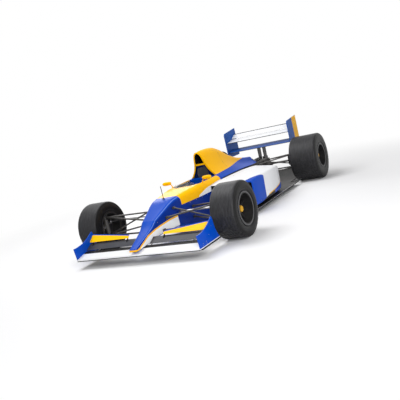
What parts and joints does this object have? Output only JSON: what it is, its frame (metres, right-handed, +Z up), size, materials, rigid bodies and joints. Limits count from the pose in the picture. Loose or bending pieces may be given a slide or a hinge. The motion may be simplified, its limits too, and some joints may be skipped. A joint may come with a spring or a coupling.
{
  "type": "open wheel racing car",
  "caption": "Single-seat racing car with exposed wheels, a long low nose, an open cockpit, side pods, an overhead air intake and front and rear wings on endplates.",
  "frame": {"origin": "on the ground below the middle of the car, halfway along its length", "axes": "+Z up, -Y towards the nose, +X to the driver's left"},
  "size_m": [2.09, 4.1, 0.975],
  "materials": {
    "blue": "gloss",
    "navy": "gloss",
    "yellow": "gloss",
    "white": "gloss",
    "carbon": "satin",
    "rubber": "matte",
    "metal": "satin",
    "wheel": "satin",
    "glass": "clear"
  },
  "bodies": {
    "car": {"monocoque": "navy", "fuel_cell": "navy", "rack_housing": "metal", "cockpit_cover": "yellow", "nose_cone": "blue", "engine_cover": "yellow", "headrest": "navy", "sidepod_left": "white", "sidepod_right": "white", "radiators": "carbon", "floor": "carbon", "engine_block": "metal", "gearbox": "metal", "seat": "carbon", "dash_bulkhead": "carbon", "mirrors": "yellow", "windscreen": "glass", "antenna": "carbon", "front_wing_main": "white", "front_wing_vanes": "carbon", "front_wing_flaps": "yellow", "front_endplate_left": "blue", "front_endplate_right": "blue", "rear_wing_main": "white", "rear_wing_flap": "white", "rear_beam_wing": "blue", "rear_endplate_left": "blue", "rear_endplate_right": "blue", "rear_wing_mount": "carbon", "front_wishbones": "carbon", "front_pushrods": "carbon", "rear_wishbones": "carbon", "rear_pushrods": "carbon", "rear_uprights": "metal"},
    "steering_wheel": {"steering_wheel": "carbon"},
    "track_rods": {"steering_rack": "metal"},
    "front_left_knuckle": {"front_left_upright": "metal"},
    "front_right_knuckle": {"front_right_upright": "metal"},
    "front_left_wheel": {"front_left_tyre": "rubber", "front_left_rim": "wheel"},
    "front_right_wheel": {"front_right_tyre": "rubber", "front_right_rim": "wheel"},
    "rear_left_wheel": {"rear_left_tyre": "rubber", "rear_left_rim": "wheel", "rear_left_driveshaft": "metal"},
    "rear_right_wheel": {"rear_right_tyre": "rubber", "rear_right_rim": "wheel", "rear_right_driveshaft": "metal"}
  },
  "joints": [
    {"name": "steering_wheel_turn", "type": "hinge", "parent": "car", "child": "steering_wheel", "pos_m": [0, -0.734, 0.412], "axis": [0, 0.9272, 0.3746], "range_deg": [-168, 168]},
    {"name": "front_left_steer", "type": "hinge", "parent": "car", "child": "front_left_knuckle", "pos_m": [0.835, -1.37, 0.3], "axis": [0, 0, 1], "range_deg": [-14, 14]},
    {"name": "front_right_steer", "type": "hinge", "parent": "car", "child": "front_right_knuckle", "pos_m": [-0.835, -1.37, 0.3], "axis": [0, 0, 1], "range_deg": [-14, 14]},
    {"name": "track_rod_slide", "type": "slide", "parent": "car", "child": "track_rods", "axis": [-1, 0, 0], "range_m": [-0.0216, 0.0216]},
    {"name": "front_left_roll", "type": "hinge", "parent": "front_left_knuckle", "child": "front_left_wheel", "pos_m": [0.9, -1.37, 0.3], "axis": [1, 0, 0], "continuous": true},
    {"name": "front_right_roll", "type": "hinge", "parent": "front_right_knuckle", "child": "front_right_wheel", "pos_m": [-0.9, -1.37, 0.3], "axis": [1, 0, 0], "continuous": true},
    {"name": "rear_left_roll", "type": "hinge", "parent": "car", "child": "rear_left_wheel", "pos_m": [0.81, 1.55, 0.334], "axis": [1, 0, 0], "continuous": true},
    {"name": "rear_right_roll", "type": "hinge", "parent": "car", "child": "rear_right_wheel", "pos_m": [-0.81, 1.55, 0.334], "axis": [1, 0, 0], "continuous": true}
  ],
  "couplings": [
    {"joint": "front_left_steer", "follows": "steering_wheel_turn", "ratio": 0.083333},
    {"joint": "front_right_steer", "follows": "steering_wheel_turn", "ratio": 0.083333},
    {"joint": "track_rod_slide", "follows": "steering_wheel_turn", "m_per_rad": 0.0073333}
  ]
}
